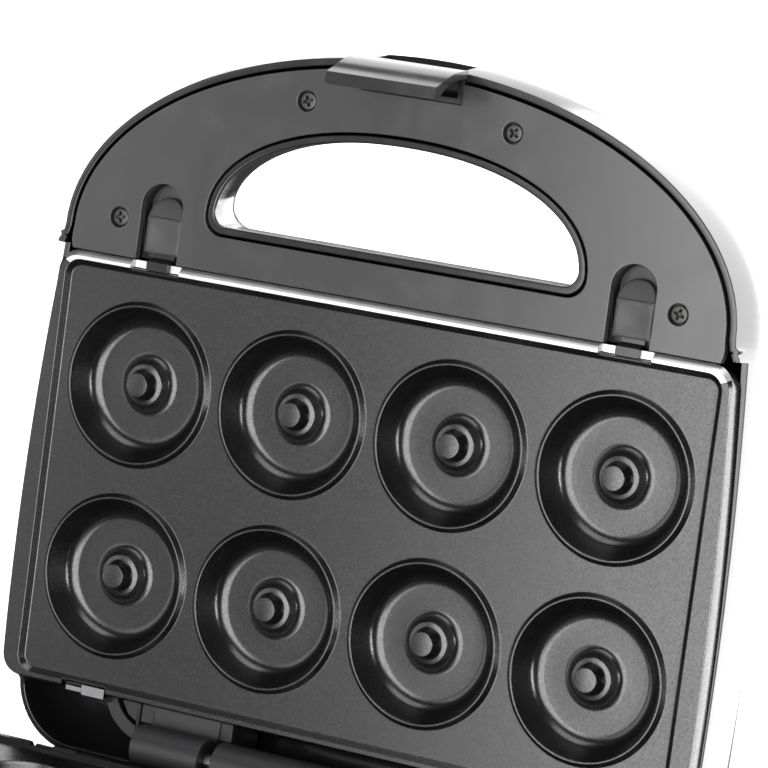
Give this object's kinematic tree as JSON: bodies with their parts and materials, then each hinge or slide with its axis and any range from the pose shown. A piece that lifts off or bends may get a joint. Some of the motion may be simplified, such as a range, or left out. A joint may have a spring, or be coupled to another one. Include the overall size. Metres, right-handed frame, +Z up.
{
  "type": "donut maker",
  "caption": "Electric clamshell donut maker, opened: two hinged halves with loop handles, non-stick ring-well plates, plate releases and a latch clip.",
  "frame": {"origin": "middle of the footprint of the opened machine, on the surface its feet stand on", "axes": "+Z up; -Y towards the base's handle, the front; +Y towards the hinge and the leaning lid; +X to the right seen from the front"},
  "size_m": [0.231, 0.2852, 0.247],
  "materials": {
    "gloss_black": "polished moulded phenolic-look plastic",
    "gloss_grey": "polished moulded plastic, dark grey under light",
    "satin_grey": "satin moulded plastic",
    "non_stick_coating": "fine-grained dark non-stick coating on cast aluminium",
    "bright_steel": "bright zinc-plated steel",
    "dark_steel": "blackened screw steel",
    "aluminium_sheet": "bright rolled sheet",
    "element_sheath": "heat-tinted sheath",
    "black_rubber": "matt rubber",
    "white_ceramic": "glazed off-white",
    "red_lens": "translucent red",
    "green_lens": "translucent green",
    "neon_lamp_glass": "clear small lamp"
  },
  "bodies": {
    "base": {"base_shell": "gloss_black", "base_handle_cover": "gloss_grey", "base_plate": "non_stick_coating", "base_reflector_tray": "aluminium_sheet", "base_heating_element": "element_sheath", "base_thermostat": "white_ceramic", "base_plate_hook_left": "bright_steel", "base_plate_hook_right": "bright_steel", "base_release_spring_left": "bright_steel", "base_release_spring_right": "bright_steel", "base_cover_screw_front_left": "dark_steel", "base_cover_screw_front_right": "dark_steel", "base_cover_screw_rear_left": "dark_steel", "base_cover_screw_rear_right": "dark_steel", "foot_front_left": "black_rubber", "foot_front_right": "black_rubber", "foot_rear_left": "black_rubber", "foot_rear_right": "black_rubber", "cord_inlet_gland": "black_rubber", "terminal_block": "white_ceramic", "thermal_fuse": "aluminium_sheet", "hinge_pin_left": "bright_steel", "hinge_pin_right": "bright_steel"},
    "lid": {"lid_shell": "gloss_black", "lid_handle_cover": "gloss_grey", "lid_plate": "non_stick_coating", "lid_reflector_tray": "aluminium_sheet", "lid_heating_element": "element_sheath", "lid_thermostat": "white_ceramic", "lid_plate_hook_left": "bright_steel", "lid_plate_hook_right": "bright_steel", "lid_release_spring_left": "bright_steel", "lid_release_spring_right": "bright_steel", "lid_cover_screw_front_left": "dark_steel", "lid_cover_screw_front_right": "dark_steel", "lid_cover_screw_rear_left": "dark_steel", "lid_cover_screw_rear_right": "dark_steel", "power_light_lens": "red_lens", "ready_light_lens": "green_lens", "power_lamp": "neon_lamp_glass", "ready_lamp": "neon_lamp_glass", "latch_clip_pin": "bright_steel"},
    "latch_clip": {"latch_clip": "gloss_black"},
    "base_release_left": {"base_release_left": "satin_grey"},
    "base_release_right": {"base_release_right": "satin_grey"},
    "lid_release_left": {"lid_release_left": "satin_grey"},
    "lid_release_right": {"lid_release_right": "satin_grey"}
  },
  "joints": [
    {"name": "lid_hinge", "type": "hinge", "parent": "base", "child": "lid", "pos_m": [0, 0.0683, 0.043], "axis": [-1, 0, 0], "range_deg": [-105.5, 0]},
    {"name": "latch_clip_hinge", "type": "hinge", "parent": "lid", "child": "latch_clip", "pos_m": [0, 0.12804, 0.23969], "axis": [-1, 0, 0], "range_deg": [-3, 35], "stiffness_Nm_per_rad": 0.05},
    {"name": "base_release_left_slide", "type": "slide", "parent": "base", "child": "base_release_left", "axis": [0, -1, 0], "range_m": [0, 0.0035], "stiffness_N_per_m": 400, "springref_m": -0.003, "deforming": ["base_release_spring_left"]},
    {"name": "base_release_right_slide", "type": "slide", "parent": "base", "child": "base_release_right", "axis": [0, -1, 0], "range_m": [0, 0.0035], "stiffness_N_per_m": 400, "springref_m": -0.003, "deforming": ["base_release_spring_right"]},
    {"name": "lid_release_left_slide", "type": "slide", "parent": "lid", "child": "lid_release_left", "axis": [0, 0.2672, 0.9636], "range_m": [0, 0.0035], "stiffness_N_per_m": 400, "springref_m": -0.003, "deforming": ["lid_release_spring_left"]},
    {"name": "lid_release_right_slide", "type": "slide", "parent": "lid", "child": "lid_release_right", "axis": [0, 0.2672, 0.9636], "range_m": [0, 0.0035], "stiffness_N_per_m": 400, "springref_m": -0.003, "deforming": ["lid_release_spring_right"]}
  ]
}
